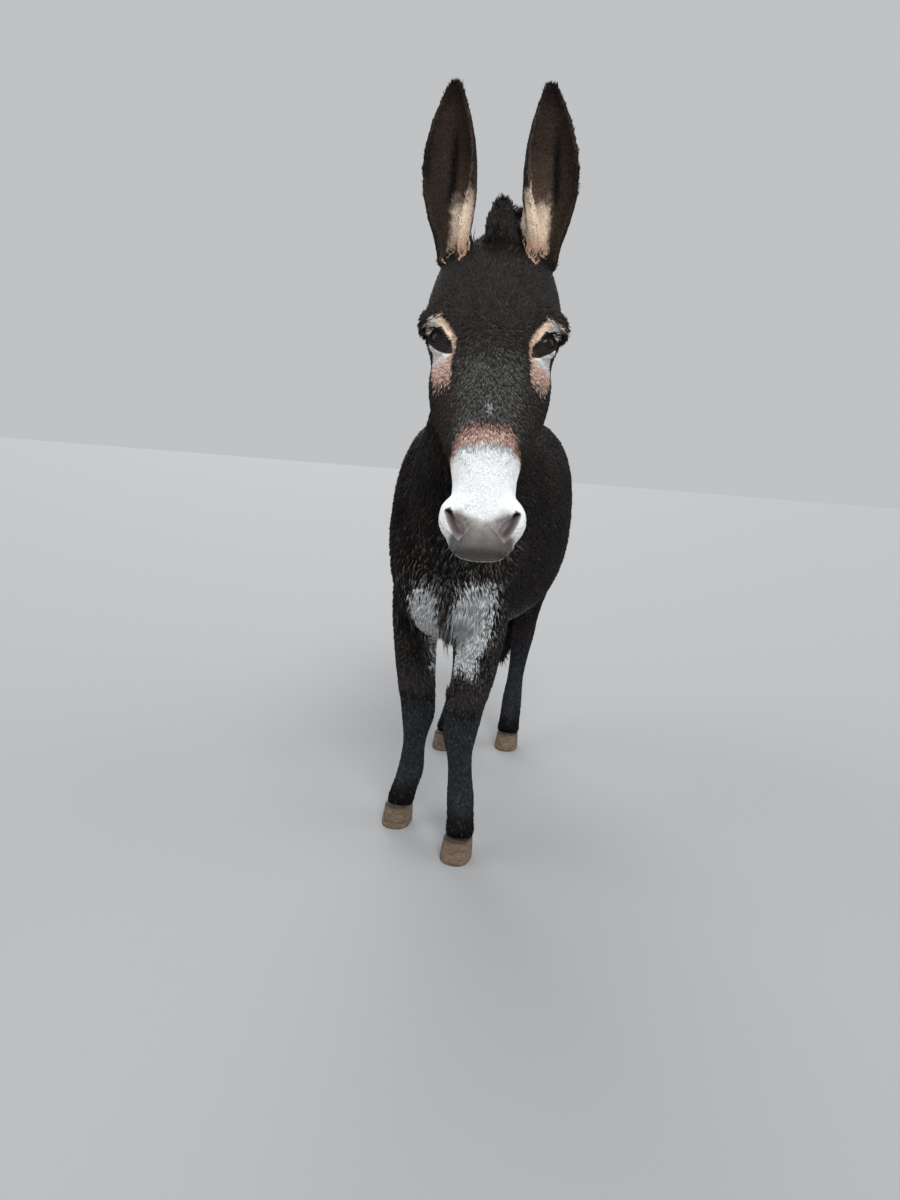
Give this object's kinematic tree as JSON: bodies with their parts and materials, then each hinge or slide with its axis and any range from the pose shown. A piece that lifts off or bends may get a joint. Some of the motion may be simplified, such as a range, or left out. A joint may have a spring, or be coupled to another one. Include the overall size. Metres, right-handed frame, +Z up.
{
  "type": "donkey",
  "caption": "Life-size standing donkey in a dark winter coat, a still model with a pale muzzle and eye rings, tall ears, an upright mane, a tufted tail and four hooves.",
  "frame": {"origin": "on the floor, under the middle of the whole animal", "axes": "+Z up, the donkey faces -Y and its left side is +X"},
  "size_m": [0.5336, 1.6996, 1.5577],
  "materials": {
    "coat": "dense soft winter hair, brown-black, matte",
    "mane": "longer coarse hair, brown-black, matte",
    "eye": "wet, dark and glossy",
    "hoof": "dry grey-tan horn, matte"
  },
  "bodies": {
    "root": {"head": "coat", "neck": "coat", "trunk": "coat", "foreleg_left": "coat", "foreleg_right": "coat", "hindleg_left": "coat", "hindleg_right": "coat", "tail": "coat", "ear_left": "coat", "ear_right": "coat", "mane": "mane", "switch": "mane", "eye_left": "eye", "eye_right": "eye", "hoof_fore_left": "hoof", "hoof_fore_right": "hoof", "hoof_hind_left": "hoof", "hoof_hind_right": "hoof"}
  },
  "joints": []
}
